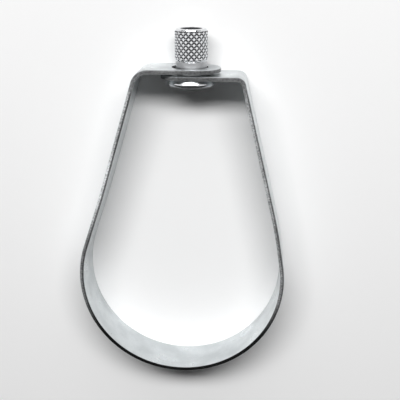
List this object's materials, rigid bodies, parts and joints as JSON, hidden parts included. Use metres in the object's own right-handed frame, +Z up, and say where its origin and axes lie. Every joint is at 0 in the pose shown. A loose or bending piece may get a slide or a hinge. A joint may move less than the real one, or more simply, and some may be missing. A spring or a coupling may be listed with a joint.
{
  "type": "swivel ring hanger",
  "caption": "Swivel ring hanger: a pear shaped galvanised strip ring that carries a pipe and turns on a knurled nut with a tapped hole for a hanger rod.",
  "frame": {"origin": "on the rod's axis, where the nut's full thread begins under its upper countersink", "axes": "+Z up along the rod, +X in the plane of the ring towards the leg with the lower tab, +Y along the pipe"},
  "size_m": [0.0992, 0.0224, 0.1679],
  "materials": {
    "galvanised_strip": "hot dip galvanised strip, faintly mottled, with darker slit edges",
    "zinc_plated_nut": "bright zinc plated, turned and diamond knurled"
  },
  "bodies": {
    "nut": {"swivel_nut": "zinc_plated_nut"},
    "ring": {"ring_band": "galvanised_strip"}
  },
  "joints": [
    {"name": "swivel", "type": "hinge", "parent": "nut", "child": "ring", "pos_m": [0, 0, 0], "axis": [0, 0, 1], "continuous": true}
  ]
}
